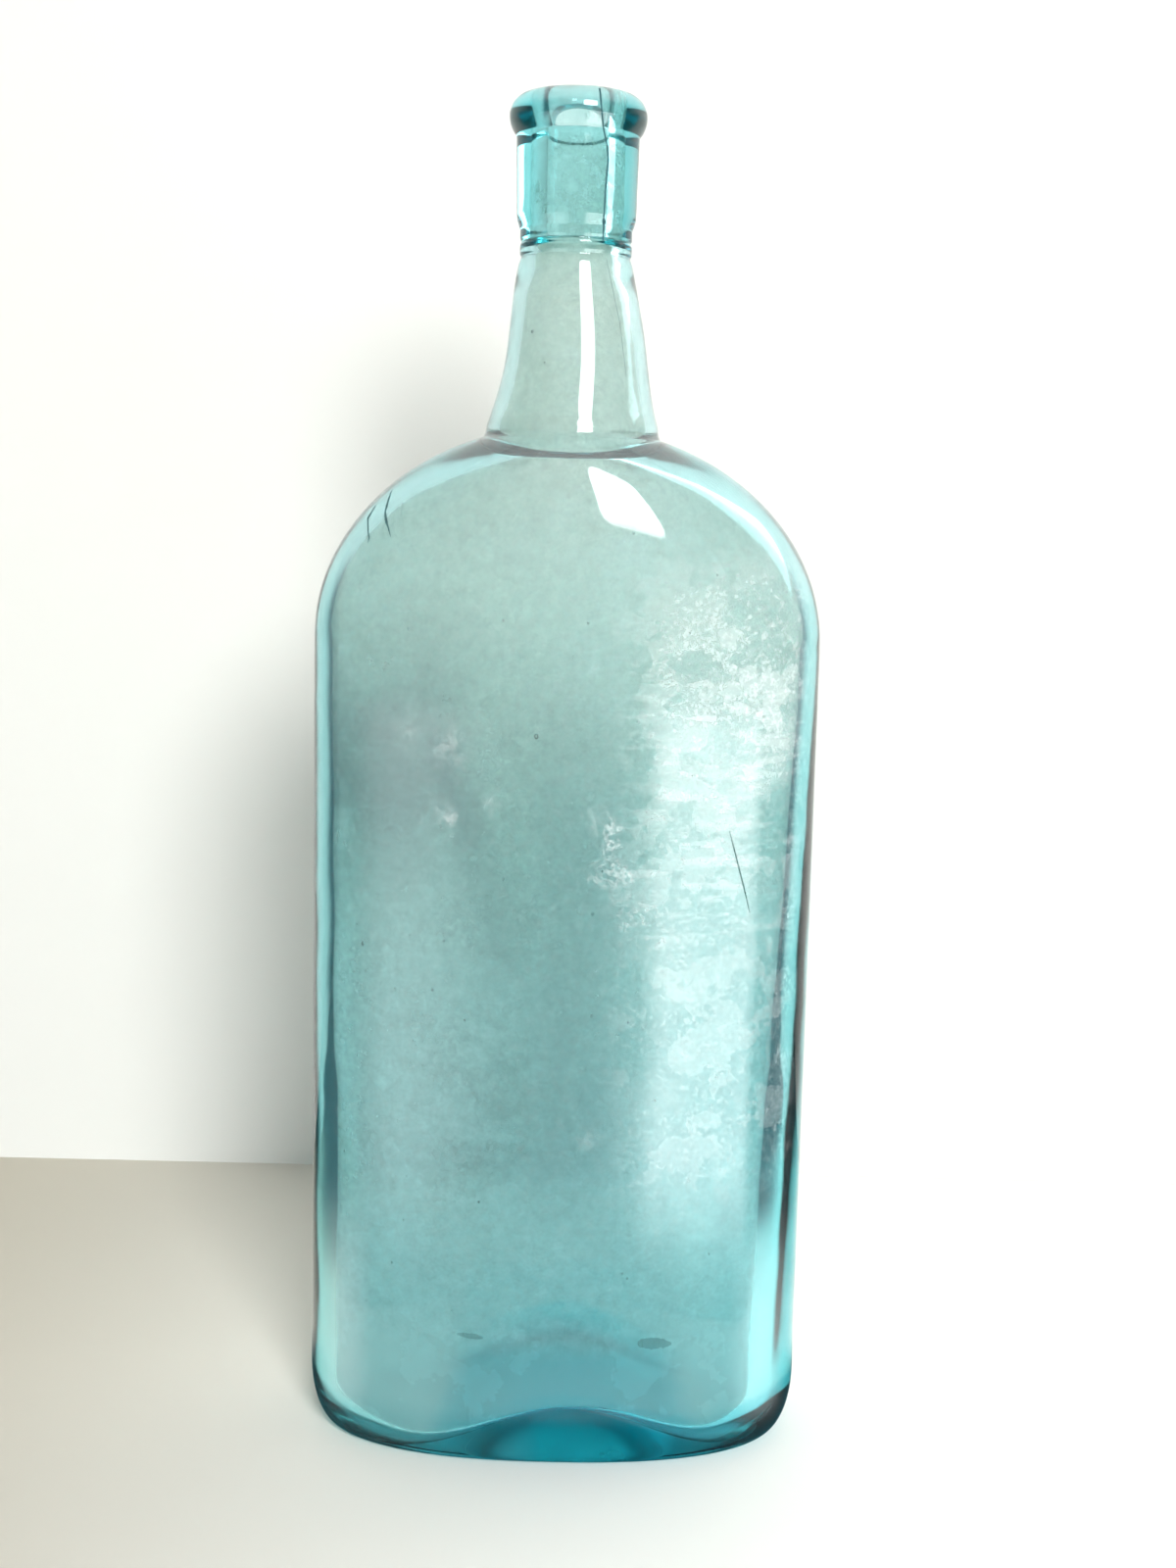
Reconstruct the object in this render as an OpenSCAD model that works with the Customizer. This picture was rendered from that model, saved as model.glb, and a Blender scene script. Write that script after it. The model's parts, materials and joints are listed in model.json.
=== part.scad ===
// Antique glass bottle: a mould-blown oval body, and a lip of hot glass applied round its cut neck.
// The origin is the centre of the face it stands on. +Z runs up the axis and +X across the broad face.
// All lengths are in millimetres.

/* [Overall] */
// Height from the face it stands on to the top of the lip
overall_h = 295; // [250:1:360]
// Width across the broad face
body_w = 111; // [90:1:135]
// Depth from front to back
body_d = 61; // [50:1:75]

/* [Body] */
// Squareness of the oval: 2 is an ellipse, and a higher value has flatter faces
oval_power = 2.4; // [2:0.1:3]
// Thickness of the side wall
wall = 3.6; // [2.5:0.1:5]
// Height of the shoulder dome, from the straight sides to its crown
shoulder_rise = 46.5; // [35:0.5:60]
// Height of the rounded heel
heel_h = 14; // [8:1:20]
// How far the heel turns in under the body
heel_in = 5.5; // [3:0.5:7]

/* [Base] */
// Thickness of the floor near the corners
floor_t = 7; // [4:0.5:10]
// Width of the rim that the bottle stands on, in front of the push-up and behind it
rim_w = 3.5; // [2:0.5:6]
// Height of the push-up under the base
push_h = 7.5; // [4:0.5:9]
// How far the mound that the push-up raises inside spreads beyond it
mound_spread = 13.5; // [6:0.5:16]
// Height of that mound above the floor
mound_h = 7.5; // [4:0.5:9]
// How far the push-up lies to one side of the axis
push_offset = 3; // [-4:0.5:4]

/* [Neck] */
// Length of the neck from the shoulder to the lip
neck_h = 36.5; // [28:0.5:48]
// Diameter of the neck at its foot
neck_foot_d = 34.4; // [30:0.2:40]
// Diameter of the neck just under the lip
neck_top_d = 23.8; // [22:0.2:26]
// Radius of the curve between the neck and the shoulder
foot_blend = 2.6; // [1:0.2:4]
// Thickness of the glass at the foot of the neck
neck_wall = 7.4; // [5:0.2:8]
// How far the cavity flares out at the foot of the neck
foot_flare = 3; // [1:0.5:4]
// Diameter of the throat through the cut end of the neck
throat_d = 12; // [10:0.2:12.8]
// Length of the straight throat below the lip
throat_below = 3.5; // [2:0.5:8]
// Diameter of the cut end of the neck, inside the lip
neck_end_d = 19; // [15.6:0.2:21]
// Length of the cut end that stands inside the lip
neck_end_h = 12; // [6:0.5:16]

/* [Lip] */
// Height of the applied lip
lip_h = 35.5; // [30:0.5:43]
// Diameter of the mouth, where a cork seats
mouth_d = 13; // [12.8:0.2:15.6]
// Outer diameter of the bead at the top
bead_d = 29.3; // [28:0.1:33]
// Radius of the bead's upper half
bead_r_top = 4.6; // [4:0.1:5.2]
// Radius of the bead's lower half
bead_r_low = 6.1; // [5.3:0.1:7]
// Diameter of the collar under the bead
collar_top_d = 26.2; // [25.4:0.1:27]
// Diameter of the collar at its lower edge
collar_low_d = 25.5; // [25:0.1:26]
// Height of the collar's lower edge above the foot of the lip
collar_z = 10.5; // [9:0.5:13]
// Height of the slope under the collar
collar_slope_h = 3; // [1.5:0.5:4]
// Diameter of the band and ring under the collar
ring_d = 24; // [23.4:0.1:24.8]
// Height of the ring, up to the groove over it
ring_h = 4.9; // [3.5:0.1:5.5]
// Height of the ring's lower edge above the foot of the lip
ring_z = 1.8; // [1:0.1:3]
// Radius of the groove on each side of the ring
groove_r = 0.5; // [0.3:0.1:0.8]

/* [Hidden] */
aqua = [0.60, 0.82, 0.83, 0.6];
deep_aqua = [0.30, 0.66, 0.72, 0.8];
// Facets round the outside and round the cavity, and rings up each stretch
sides_out = 64;
sides_in = 48;
heel_rings = 5;
dome_rings = 12;
blend_rings = 3;
neck_rings = 7;
fine = 96;
overlap = 0.5;
// The neck swells a little under the lip: 1 would be a straight cone
neck_power = 0.8;

// Heights of the joints between the stretches
lip_z = overall_h - lip_h;
foot_z = lip_z - neck_h;
bead_z = overall_h - bead_r_top;
throat_z = lip_z - throat_below;
throat_lap = 3;

// Radii
foot_r = neck_foot_d / 2;
mouth_r = mouth_d / 2;
throat_r = throat_d / 2;
neck_end_r = neck_end_d / 2;
ring_r = ring_d / 2;

// The cavity: its half width and half depth, the rounding of its floor and its opening to the neck
cavity_a = body_w / 2 - wall;
cavity_b = body_d / 2 - wall;
cavity_heel = 9;
cavity_foot_r = foot_r - neck_wall;
cavity_crown_r = cavity_foot_r + foot_flare;

// The push-up leaves a rim in front and behind, and the mound over it spreads further
push_d = body_d - 2 * heel_in - 2 * rim_w;
mound_d = push_d + 2 * mound_spread;

// The shoulder is a dome whose width follows an ellipse. It stops where it is as narrow as the neck's foot.
crown_r = foot_r + foot_blend;
dome_end = acos(crown_r / (body_w / 2));
shoulder_z = foot_z - shoulder_rise * sin(dome_end);
cavity_rise = shoulder_rise - wall;
cavity_end = acos(cavity_crown_r / cavity_a);
cavity_crown_z = shoulder_z + cavity_rise * sin(cavity_end);
// The cavity narrows up the neck to the throat, and runs a little way into the throat's straight bore
cavity_foot_z = cavity_crown_z + foot_flare;
cavity_slope = (cavity_foot_r - throat_r) / (throat_z - cavity_foot_z);
cavity_tip_r = throat_r - cavity_slope * throat_lap;

function sgn_pow(v, p) = sign(v) * pow(abs(v), p);

// One ring of points: an oval of half width a, half depth b and squareness p at height z
function oval(z, a, b, p, n) =
    [for (i = [0 : n - 1])
        let (t = 360 * i / n)
        [a * sgn_pow(cos(t), 2 / p), b * sgn_pow(sin(t), 2 / p), z]];

// The rings of a dome, from straight sides of half width a and half depth b at z0 to a circle of radius r.
// Width and depth follow ellipses of their own, and the oval eases into the circle.
function dome(z0, rise, a, b, r, n, steps) =
    let (end = acos(r / a), depth_end = acos(r / b), k = sin(depth_end) / sin(end))
    [for (i = [0 : steps])
        let (s = i / steps, u = sin(end * s))
        oval(z0 + rise * u, a * cos(end * s), b * sqrt(1 - pow(k * u, 2)),
             oval_power + (2 - oval_power) * s * s * (3 - 2 * s), n)];

// The rings of a rounded heel that turns in by inset over the height h
function heel(z0, h, inset, a, b, n, steps) =
    [for (i = [0 : steps])
        let (t = 90 * i / steps, turn = inset * (1 - sin(t)))
        oval(z0 + h * (1 - cos(t)), a - turn, b - turn, oval_power, n)];

// The rings of the hollow curve of radius bend that leads from a dome's crown, of radius r at z0, to the neck
function foot_curve(z0, r, bend, n) =
    [for (i = [1 : blend_rings])
        let (t = 90 * i / blend_rings, turned_r = r - bend * sin(t))
        oval(z0 + bend * (1 - cos(t)), turned_r, turned_r, 2, n)];

function neck_r(z) =
    neck_top_d / 2 + (foot_r - neck_top_d / 2)
        * pow(max(0, (lip_z - z) / (lip_z - foot_z - foot_blend)), neck_power);

outer_rings = concat(
    heel(0, heel_h, heel_in, body_w / 2, body_d / 2, sides_out, heel_rings),
    dome(shoulder_z, shoulder_rise, body_w / 2, body_d / 2, crown_r, sides_out, dome_rings),
    foot_curve(foot_z, crown_r, foot_blend, sides_out),
    [for (i = [1 : neck_rings])
        let (z = foot_z + foot_blend + (lip_z - foot_z - foot_blend) * i / neck_rings, r = neck_r(z))
        oval(z, r, r, 2, sides_out)]);

cavity_rings = concat(
    heel(floor_t, cavity_heel, cavity_heel, cavity_a, cavity_b, sides_in, heel_rings),
    dome(shoulder_z, cavity_rise, cavity_a, cavity_b, cavity_crown_r, sides_in, dome_rings),
    foot_curve(cavity_crown_z, cavity_crown_r, foot_flare, sides_in),
    [oval(throat_z + throat_lap, cavity_tip_r, cavity_tip_r, 2, sides_in)]);

// A closed solid through a stack of rings
module loft(rings) {
    n = len(rings[0]);
    last = len(rings) - 1;
    sides = [for (k = [0 : last - 1], i = [0 : n - 1], half = [0, 1])
        let (j = (i + 1) % n, low = k * n, high = (k + 1) * n)
        half == 0 ? [low + i, high + i, high + j] : [low + i, high + j, low + j]];
    bottom = [for (i = [0 : n - 1]) i];
    top = [for (i = [n - 1 : -1 : 0]) last * n + i];
    polyhedron(points = [for (ring = rings) each ring], faces = concat(sides, [bottom, top]));
}

// A low spherical mound of diameter d and height h, with its foot at height z
module mound(d, h, z) {
    ball_r = (pow(d / 2, 2) + pow(h, 2)) / (2 * h);
    intersection() {
        translate([push_offset, 0, z + h - ball_r]) rotate([90, 0, 0]) sphere(r = ball_r, $fn = fine);
        translate([push_offset, 0, z - 1]) cylinder(r = d, h = h + 2, $fn = fine);
    }
}

module bottle_body() {
    color(aqua)
    difference() {
        union() {
            loft(outer_rings);
            translate([0, 0, lip_z - overlap])
                cylinder(r = neck_end_r, h = neck_end_h + overlap, $fn = fine);
        }
        difference() {
            loft(cavity_rings);
            mound(mound_d, mound_h, floor_t);
        }
        translate([0, 0, throat_z - throat_lap])
            cylinder(r = throat_r, h = lip_h, $fn = fine);
        mound(push_d, push_h, 0);
    }
}

// Half of the lip's cross-section, solid to the axis
module lip_profile() {
    collar_low_z = lip_z + collar_z;
    band_z = collar_low_z - collar_slope_h;
    intersection() {
        translate([bead_d / 2 - bead_r_top, bead_z]) circle(r = bead_r_top, $fn = fine);
        translate([0, bead_z]) square([bead_d, bead_r_top + 1]);
    }
    intersection() {
        translate([bead_d / 2 - bead_r_low, bead_z]) circle(r = bead_r_low, $fn = fine);
        translate([0, bead_z - bead_r_low]) square([bead_d, bead_r_low]);
    }
    polygon([
        [0, lip_z], [ring_r, lip_z], [ring_r, band_z], [collar_low_d / 2, collar_low_z],
        [collar_top_d / 2, bead_z], [0, bead_z]
    ]);
}

module applied_finish() {
    color(deep_aqua)
    rotate_extrude($fn = fine)
    difference() {
        lip_profile();
        square([mouth_r, overall_h + 1]);
        translate([0, lip_z - 1]) square([neck_end_r, neck_end_h + 1]);
        for (z = [lip_z + ring_z, lip_z + ring_h])
            translate([ring_r + groove_r / 2, z]) circle(r = groove_r, $fn = fine);
    }
}

bottle_body();
applied_finish();
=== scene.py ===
"""The looks of an antique aqua glass bottle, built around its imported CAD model. All lengths are in metres.

The CAD model is two solids. Hot glass fuses its pieces without a seam, so what shows is one clear skin:
a single closed mesh that runs from the push-up under the base, up the outside, over the lip and down
the inside to the floor. The haze, the crack, the seeds and the marks are pieces of their own.

The bottle stands on z = 0 with its broad front towards -Y.
"""
import json
import math
import random

import bpy
import numpy as np
from mathutils import Matrix, Vector, noise
from mathutils.bvhtree import BVHTree


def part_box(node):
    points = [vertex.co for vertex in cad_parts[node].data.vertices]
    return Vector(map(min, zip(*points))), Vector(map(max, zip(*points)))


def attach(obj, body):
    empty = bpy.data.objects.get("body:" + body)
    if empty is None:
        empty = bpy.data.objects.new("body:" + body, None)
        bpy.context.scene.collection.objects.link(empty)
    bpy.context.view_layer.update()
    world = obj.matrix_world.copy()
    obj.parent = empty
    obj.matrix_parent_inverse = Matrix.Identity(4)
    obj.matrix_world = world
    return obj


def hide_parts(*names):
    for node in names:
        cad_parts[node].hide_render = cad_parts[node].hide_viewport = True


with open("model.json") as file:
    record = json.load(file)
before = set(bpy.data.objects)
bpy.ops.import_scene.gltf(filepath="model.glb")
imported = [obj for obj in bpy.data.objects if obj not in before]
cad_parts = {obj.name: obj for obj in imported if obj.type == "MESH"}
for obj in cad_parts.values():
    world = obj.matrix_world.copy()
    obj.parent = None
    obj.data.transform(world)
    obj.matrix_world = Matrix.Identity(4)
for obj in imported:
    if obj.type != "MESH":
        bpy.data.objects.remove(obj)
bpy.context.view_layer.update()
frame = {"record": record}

# ---- The view ------------------------------------------------
CAMERA_AT = Vector((0.00525, -0.432, 0.2102))
CAMERA_PITCH = math.radians(8.25)  # downwards
CAMERA_ROLL = math.radians(1.33)
CAMERA_LENS = 45.0  # for a 36 mm frame along its longer side

# ---- Sizes from the frame ------------------------------------
body_low, body_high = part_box("bottle_body")
lip_low, lip_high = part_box("applied_finish")
HALF_W = body_high.x
HALF_D = body_high.y
TOP_Z = lip_high.z
LIP_Z = lip_low.z
BEAD_R = lip_high.x
MOUTH_R = frame["record"]["mounts"][0]["dims"]["r_mm"] / 1000

# ---- The outside ---------------------------------------------
POWER = 2.4  # squareness of the oval
HEEL_H = 0.014
HEEL_IN = 0.0055  # how far the rim that it stands on lies in from the sides
SHOULDER_RISE = 0.0465
NECK_H = 0.0365
NECK_FOOT_R = 0.0172
NECK_TOP_R = 0.0119
NECK_POWER = 0.8  # under 1 the neck's sides bulge a little
FOOT_BLEND = 0.0026  # size of the curve from the shoulder into the neck
NECK_FLARE = 0.0015  # how far the neck's foot sweeps out from the line of its sides
NECK_FLARE_H = 0.015
NECK_DEPTH = 1.09  # depth over width at the neck's foot
NECK_LEAN = 0.0006  # how far the middle of the neck stands to +X
FOOT_Z = LIP_Z - NECK_H
CROWN_R = NECK_FOOT_R + FOOT_BLEND
DOME_END = math.acos(CROWN_R / HALF_W)
SHOULDER_Z = FOOT_Z - SHOULDER_RISE * math.sin(DOME_END)

# ---- The lip -------------------------------------------------
BEAD_TOP_R = 0.0046
BEAD_LOW_R = 0.0061
BEAD_Z = TOP_Z - BEAD_TOP_R
COLLAR_TOP_R = 0.0131
COLLAR_LOW_R = 0.01275
COLLAR_FOOT_Z = LIP_Z + 0.0105
COLLAR_SLOPE_H = 0.003
CREASE_R = 0.0007  # of the hollow between the bead and the collar
BAND_R = 0.0120
GROOVE_DEEP = 0.00028
GROOVE_WIDE = 0.00045
BAND_Z = LIP_Z + 0.0014  # where the applied glass begins to show
GROOVE_ZS = (BAND_Z + 0.0003, LIP_Z + 0.0049)
MOUTH_EASE = 0.0026  # radius of the rounded edge of the mouth
RIM_TURN = 84  # degrees that the bead's upper arc turns through before the mouth's edge

# ---- The inside ----------------------------------------------
BORE_END_Z = LIP_Z + 0.0066  # where the ground bore ends and begins to open
BORE_OPENS = 0.0030  # the height over which the bore widens to the inside of the neck
NECK_WALL = 0.0026
NECK_WALL_MORE = 0.0008  # how much thicker it gets in the last NECK_WALL_RISE below the lip
NECK_WALL_RISE = 0.006
INNER_FOOT_R = NECK_FOOT_R + NECK_FLARE - NECK_WALL
INNER_FLARE = 0.003
FACE_WALL = (0.0054, 0.0048)  # thickness of the broad faces, near the base and near the shoulder
END_WALL = (0.0073, 0.0042)  # thickness of the narrow ends, likewise
CAVITY_SHIFT = -0.0016  # how far the cavity stands to one side near the base; it is central at the shoulder
WALL_SPAN = (0.020, 0.190)  # the heights that these are for
INNER_POWER = 2.25
FILM_OFF = 0.00012  # the deposit lies this far off the inside, and is this deep in the bore's ground wall
FILM_TURN_Z = (LIP_Z + 0.0036, LIP_Z + 0.0060)  # where it goes from the one to the other
FLOOR_T = 0.0020
MOUND_H = 0.0112
MOUND_HALF_W = 0.036
MOUND_FADE = 0.05  # how much lower the mound is at the front and back walls than in the middle
MOUND_X = 0.003
INNER_HEEL_FRONT = 0.0010
INNER_HEEL_END = 0.0105

# ---- The underside -------------------------------------------
PUSH_R = 0.0215
PUSH_POWER = 3.0  # its outline is a square with very round corners
PUSH_H = 0.0075
BASE_LIFT = 0.0004  # how far the flat part of the base stands off the floor
RIM_FALL = 8  # how closely to the rim it comes down to the floor

# ---- Glass ---------------------------------------------------
IOR = 1.52
ABSORB_COLOR = (0.35, 0.89, 0.925)
ABSORB_DENSITY = 100.0  # per metre
CLEAR_TONE = (0.985, 1.0, 0.995)
DEEP_TONE = (0.02, 0.70, 0.87)  # near the foot
# The deposit: white near the base and at the shoulder, a dark tone for its painted shade and its streak, and bright
# blue over the push-up, painted light for the lit floor seen through the base
LOW_WHITE = (0.96, 1.0, 1.0)
HIGH_WHITE = (0.92, 0.92, 0.82)
SHADE_AND_STREAK_TONE = (0.20, 0.27, 0.29)
DOME_PAINTED_LIGHT_TONE = (0.38, 0.92, 1.0)

# ---- Residue -------------------------------------------------
# Crusty patches on the outside of the front, as x, z, radius and strength
RESIDUE = (
    (-0.0244, 0.1582, 0.0050, 0.20),
    (-0.0248, 0.1450, 0.0040, 0.22),
    (-0.0232, 0.1440, 0.0022, 0.24),
    (-0.0330, 0.1610, 0.0036, 0.14),
    (-0.0150, 0.1475, 0.0032, 0.18),
    (0.0085, 0.1430, 0.0044, 0.45),
    (0.0100, 0.1390, 0.0026, 0.50),
    (0.0110, 0.1330, 0.0050, 0.40),
    (0.0145, 0.1240, 0.0040, 0.35),
    (0.0368, 0.0700, 0.0050, 0.22),
    (0.0255, 0.0950, 0.0040, 0.25),
    (0.0070, 0.0760, 0.0036, 0.25),
)

# ---- Marks on the glass --------------------------------------
# Their paths, as x, z and width
CRACK = (
    (0.0043, 0.2941, 0.00040), (0.0049, 0.2890, 0.00034), (0.0053, 0.2861, 0.00030), (0.0062, 0.2826, 0.00034),
    (0.0064, 0.2800, 0.00040), (0.0060, 0.2740, 0.00032), (0.0058, 0.2684, 0.00034), (0.0058, 0.2676, 0.00064),
    (0.0058, 0.2668, 0.00034), (0.0057, 0.2635, 0.00024),
)
CRACK_TAIL = ((0.0066, 0.2600, 0.00012), (0.0097, 0.2470, 0.00016), (0.0113, 0.2360, 0.00012))
SCRATCH = (
    (0.0352, 0.1420, 0.00012), (0.0366, 0.1372, 0.00030), (0.0378, 0.1330, 0.00024), (0.0391, 0.1285, 0.00030),
    (0.0402, 0.1242, 0.00010),
)
SHOULDER_MARKS = (
    ((-0.0380, 0.2112, 0.00020), (-0.0385, 0.2085, 0.00042), (-0.0388, 0.2066, 0.00030), (-0.0384, 0.2050, 0.00060),
     (-0.0376, 0.2030, 0.00026), (-0.0371, 0.2016, 0.00012)),
    ((-0.0414, 0.2078, 0.00020), (-0.0428, 0.2052, 0.00040), (-0.0424, 0.2028, 0.00028), (-0.0420, 0.2012, 0.00036),
     (-0.0422, 0.2002, 0.00016)),
)
STAINS = (
    ((-0.0203, 0.0309, 0.0004), (-0.0190, 0.0308, 0.0010), (-0.0172, 0.0306, 0.0013), (-0.0155, 0.0305, 0.0010),
     (-0.0146, 0.0304, 0.0004)),
    ((0.0188, 0.0296, 0.0008), (0.0198, 0.0297, 0.0023), (0.0224, 0.0296, 0.0026), (0.0248, 0.0294, 0.0018),
     (0.0262, 0.0293, 0.0006)),
)
MARK_OFF = 0.00003  # how far they lie off the glass
MARK_STEP = 0.00025
MARK_ROUGHNESS = 0.7
EDGES_PER_M = 2500
EDGE_APART = 0.01  # how differently a mark's two edges run
# Piece, paths, distance off the glass, unevenness of the edges, material, colour and alpha
MARKS = (
    ("crack", (CRACK,), MARK_OFF, 0.5, "crack_shade", (0.010, 0.060, 0.070), 1.0),
    ("crack_tail", (CRACK_TAIL,), -MARK_OFF, 0.4, "faint_shade", (0.10, 0.22, 0.23), 0.6),
    ("scratch", (SCRATCH,), MARK_OFF, 0.6, "scratch_shade", (0.02, 0.06, 0.06), 0.9),
    ("shoulder_marks", SHOULDER_MARKS, MARK_OFF, 0.9, "mark_shade", (0.03, 0.09, 0.10), 0.9),
    ("stains", STAINS, MARK_OFF, 0.5, "stain_grey", (0.03, 0.08, 0.08), 0.42),
)

# ---- Seeds, small bubbles in the glass -----------------------
# The large ones, as x, z and radius
SEEDS = (
    (-0.0057, 0.1615, 0.00045), (-0.0269, 0.1067, 0.00030), (-0.0426, 0.1151, 0.00040), (-0.0092, 0.2450, 0.00030),
    (-0.0062, 0.2385, 0.00022), (0.0150, 0.1010, 0.00022), (-0.0330, 0.1830, 0.00022),
)
# The stray ones: their number, places and radii, and the start of the random draws
STRAY_SEEDS = 46
STRAY_X = (-0.046, 0.046)
STRAY_Z = (0.035, 0.205)
STRAY_R = (0.00010, 0.00026)
STRAY_START = 7
SEED_DEPTH = 0.0012  # under the outside of the glass
SEED_LONG = 1.3  # height over width
SEED_AROUND, SEED_ROWS = 12, 8

# ---- Mesh ----------------------------------------------------
AROUND = 192  # points in a ring
END_BIAS = 0.25  # how much closer together they lie at the ends of the oval
# Rings in each part of the outside, of the inside, and of the underside
HEEL_ROWS, SIDE_ROWS, DOME_ROWS, HOLLOW_ROWS, NECK_ROWS, BAND_ROWS = 16, 84, 46, 8, 26, 42
COLLAR_ROWS, CREASE_ROWS, BEAD_ROWS, MOUTH_ROWS = 12, 6, 14, 12
BORE_ROWS, OPENING_ROWS, THROAT_ROWS, INNER_DOME_ROWS, INNER_SIDE_ROWS = 10, 10, 26, 40, 72
INNER_HEEL_ROWS, FLOOR_ROWS, UNDER_ROWS = 12, 30, 30
# Soft waves press the glass in by up to OUTER_WAVE and INNER_WAVE
WAVES_PER_M = (36.0, 90.0)
SECOND_WAVE = 0.4  # strength of the shorter waves next to the longer ones
OUTER_WAVE = 0.00022
INNER_WAVE = 0.0006
WAVE_FOOT_Z = 0.010
WAVE_FADE_H = 0.020  # the height over which they fade, at the base and under the lip


def turns():
    even = np.arange(AROUND) * 2 * math.pi / AROUND
    return even - END_BIAS / 2 * np.sin(2 * even)


TURN = turns()
COS, SIN = np.cos(TURN), np.sin(TURN)


def unit(u):
    """u, kept between 0 and 1."""
    return min(1.0, max(0.0, u))


def share(value, low, high):
    """How far value lies from low to high, from 0 to 1."""
    return unit((value - low) / (high - low))


def ease(u):
    return u * u * (3 - 2 * u)


def steps(low, high, count):
    """Goes evenly from low to high in count values, without high itself."""
    return [low + (high - low) * i / count for i in range(count)]


def ring(a, b, power, z, shift=0.0):
    """One ring of points on an oval of half width a and half depth b. z is a number or one per point."""
    reach = (np.abs(COS / a) ** power + np.abs(SIN / b) ** power) ** (-1 / power)
    return np.stack([reach * COS + shift, reach * SIN, np.zeros(AROUND) + z], axis=1)


def round_ring(r, z, shift=0.0, deep=1.0):
    return ring(r, r * deep, 2.0, z, shift)


def heel_rings():
    """The rounded heel, from the rim it stands on to the straight sides."""
    rings = []
    for t in steps(0, math.pi / 2, HEEL_ROWS):
        turn_in = HEEL_IN * (1 - math.sin(t))
        rings.append(ring(HALF_W - turn_in, HALF_D - turn_in, POWER, HEEL_H * (1 - math.cos(t))))
    return rings


def side_rings():
    return [ring(HALF_W, HALF_D, POWER, z) for z in steps(HEEL_H, SHOULDER_Z, SIDE_ROWS)]


def dome_rings(z0, rise, a, b, crown_r, count, side_power):
    """A shoulder, from the straight sides to a round crown. Width and depth follow ellipses of their own."""
    end = math.acos(crown_r / a)
    depth_k = math.sin(math.acos(crown_r * NECK_DEPTH / b)) / math.sin(end)
    rings = []
    for s in steps(0, 1, count):
        u = math.sin(end * s)
        power = side_power + (2 - side_power) * ease(s)
        rings.append(ring(a * math.cos(end * s), b * math.sqrt(1 - (depth_k * u) ** 2), power, z0 + rise * u))
    return rings


def hollow_rings(z0, r, across, rise):
    """The hollow curve from a shoulder's crown to the neck's foot, across further in and rise higher."""
    return [
        round_ring(r - across * math.sin(t), z0 + rise * (1 - math.cos(t)), deep=NECK_DEPTH)
        for t in steps(0, math.pi / 2, HOLLOW_ROWS)
    ]


def up_neck(z):
    """How far up the neck z lies, from 0 at its foot to 1 at the lip."""
    return unit((z - FOOT_Z) / NECK_H)


def lean(z):
    """How far the neck's middle stands to +X at height z."""
    return NECK_LEAN * math.sin(math.pi * up_neck(z)) ** 2


def deepness(z):
    """The neck's depth over its width at height z."""
    return 1 + (NECK_DEPTH - 1) * (1 - up_neck(z))


def neck_r(z):
    """The outer radius of the neck at height z."""
    z0 = FOOT_Z + FOOT_BLEND
    z = max(z, z0)
    flare = NECK_FLARE * (1 - unit((z - z0) / NECK_FLARE_H)) ** 2
    return NECK_TOP_R + (NECK_FOOT_R - NECK_TOP_R) * ((BAND_Z - z) / (BAND_Z - z0)) ** NECK_POWER + flare


def neck_rings():
    levels = steps(FOOT_Z + FOOT_BLEND, BAND_Z, NECK_ROWS)
    return [round_ring(neck_r(z), z, lean(z), deepness(z)) for z in levels]


def band_rings():
    """The ringed band at the foot of the lip, with its grooves, and the slope up to the collar."""
    rings = []
    for z in steps(BAND_Z, COLLAR_FOOT_Z, BAND_ROWS):
        u = max(0.0, (z - COLLAR_FOOT_Z + COLLAR_SLOPE_H) / COLLAR_SLOPE_H)
        r = BAND_R + (COLLAR_LOW_R - BAND_R) * math.sin(math.pi / 2 * u)
        for groove_z in GROOVE_ZS:
            r -= GROOVE_DEEP * math.exp(-((z - groove_z) / GROOVE_WIDE) ** 2)
        rings.append(round_ring(r, z))
    return rings


def arc(centre_r, centre_z, radius, start, end, count):
    """Round rings along an arc of the lip's outline, given in degrees from straight outwards."""
    turns_up = [math.radians(t) for t in steps(start, end, count)]
    return [round_ring(centre_r + radius * math.cos(t), centre_z + radius * math.sin(t)) for t in turns_up]


def lip_rings():
    """The collar, the bead over it and the rounded mouth."""
    low_centre, top_centre = BEAD_R - BEAD_LOW_R, BEAD_R - BEAD_TOP_R
    # The crease is an arc that touches both the collar's side and the bead's lower arc.
    crease_centre = COLLAR_TOP_R + CREASE_R
    drop = math.sqrt((BEAD_LOW_R + CREASE_R) ** 2 - (crease_centre - low_centre) ** 2)
    meet = math.degrees(math.asin(drop / (BEAD_LOW_R + CREASE_R)))
    crease_z = BEAD_Z - drop
    collar = [
        round_ring(r, z) for r, z in zip(steps(COLLAR_LOW_R, COLLAR_TOP_R, COLLAR_ROWS),
                                         steps(COLLAR_FOOT_Z, crease_z, COLLAR_ROWS))
    ]
    return (
        collar
        + arc(crease_centre, crease_z, CREASE_R, 180, 180 - meet, CREASE_ROWS)
        + arc(low_centre, BEAD_Z, BEAD_LOW_R, -meet, 0, BEAD_ROWS)
        + arc(top_centre, BEAD_Z, BEAD_TOP_R, 0, RIM_TURN, BEAD_ROWS)
        + arc(MOUTH_R + MOUTH_EASE, TOP_Z - MOUTH_EASE, MOUTH_EASE, RIM_TURN, 180, MOUTH_ROWS)
    )


def bore_rings():
    return [round_ring(MOUTH_R, z) for z in steps(TOP_Z - MOUTH_EASE, BORE_END_Z, BORE_ROWS)]


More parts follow.
